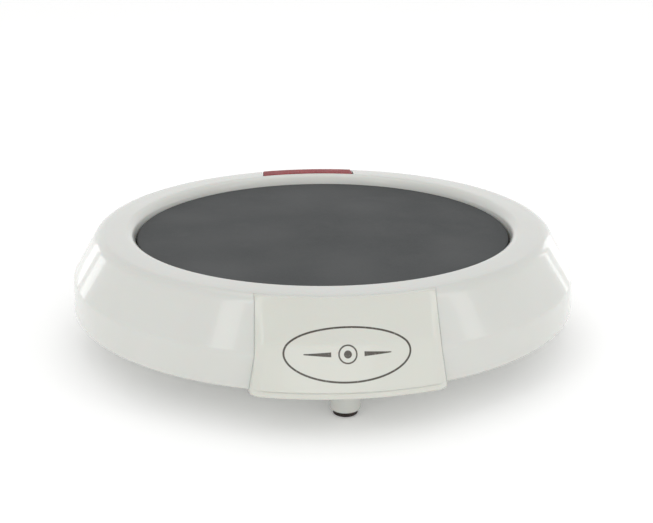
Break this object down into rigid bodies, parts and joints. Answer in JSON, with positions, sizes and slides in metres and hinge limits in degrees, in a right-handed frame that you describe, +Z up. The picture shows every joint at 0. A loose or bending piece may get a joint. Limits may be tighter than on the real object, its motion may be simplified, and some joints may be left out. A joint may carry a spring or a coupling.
{
  "type": "candle warmer plate",
  "caption": "Low round electric warming plate on short feet: dark coated disc in a sloping white rim, raised front panel, red rocker switch over the rear shoulder and a cord outlet below it.",
  "frame": {"origin": "on the round body's axis, in the plane that the rubber feet stand on", "axes": "+Z up out of the hot plate; -Y towards the front, where the raised panel is; +Y towards the rear, where the switch and the cord outlet are"},
  "size_m": [0.14, 0.1459, 0.0305],
  "materials": {
    "white_plastic": "glossy moulded off-white",
    "cream_plastic": "glossy moulded pale cream, a little greener than the body",
    "plate_coating": "matt dark grey non-stick coating on pressed steel",
    "silicone": "matt heat-resistant silicone",
    "red_lens": "glossy dark translucent red",
    "black_rubber": "matt dark brown-black",
    "black_plastic": "matt black",
    "zinc_steel": "bright zinc plate",
    "galvanised_sheet": "galvanised sheet",
    "brass": "plain",
    "mica": "pressed mica board",
    "nichrome": "etched foil",
    "ceramic_fibre": "soft pressed fibre",
    "label_film": "silver film, blank",
    "lamp_glass": "clear, with a faint amber tint",
    "resistor_body": "lacquered",
    "glass_sleeve": "woven glass-fibre sleeve"
  },
  "bodies": {
    "base": {"housing_shell": "white_plastic", "front_panel": "cream_plastic", "base_cover": "white_plastic", "foot_pad_front": "black_rubber", "foot_pad_right": "black_rubber", "foot_pad_rear": "black_rubber", "foot_pad_left": "black_rubber", "base_screw_1": "zinc_steel", "base_screw_2": "zinc_steel", "base_screw_3": "zinc_steel", "base_screw_4": "zinc_steel", "rating_label": "label_film", "cord_gland": "white_plastic", "hot_plate": "plate_coating", "plate_gasket": "silicone", "upper_mica_sheet": "mica", "heater_ribbon": "nichrome", "lower_mica_sheet": "mica", "insulation_pad": "ceramic_fibre", "clamp_plate": "galvanised_sheet", "clamp_washer": "zinc_steel", "clamp_nut": "zinc_steel", "heater_tab_line": "brass", "heater_tab_neutral": "brass", "heat_shield": "galvanised_sheet", "shield_screw_1": "zinc_steel", "shield_screw_2": "zinc_steel", "shield_screw_3": "zinc_steel", "thermostat": "black_plastic", "thermostat_bracket": "galvanised_sheet", "switch_carrier": "black_plastic", "carrier_screw_right": "zinc_steel", "carrier_screw_left": "zinc_steel", "pivot_pin_right": "zinc_steel", "pivot_pin_left": "zinc_steel", "contact_block": "black_plastic", "line_contact": "brass", "load_contact": "brass", "neon_lamp": "lamp_glass", "lamp_resistor": "resistor_body", "splice_cap": "glass_sleeve", "lead_switch_to_thermostat": "glass_sleeve", "lead_thermostat_to_heater": "glass_sleeve", "lead_neutral": "glass_sleeve"},
    "paddle": {"switch_paddle": "red_lens", "switch_plunger": "resistor_body", "plunger_spring": "zinc_steel"},
    "bridge": {"contact_bridge": "brass"}
  },
  "joints": [
    {"name": "paddle_tilt", "type": "hinge", "parent": "base", "child": "paddle", "pos_m": [0, 0.0596, 0.0255], "axis": [-1, 0, 0], "range_deg": [0, 8]},
    {"name": "bridge_tilt", "type": "hinge", "parent": "base", "child": "bridge", "pos_m": [0.0065, 0.0596, 0.0163], "axis": [1, 0, 0], "range_deg": [0, 12]}
  ],
  "couplings": [
    {"joint": "bridge_tilt", "follows": "paddle_tilt", "ratio": 1.5}
  ]
}
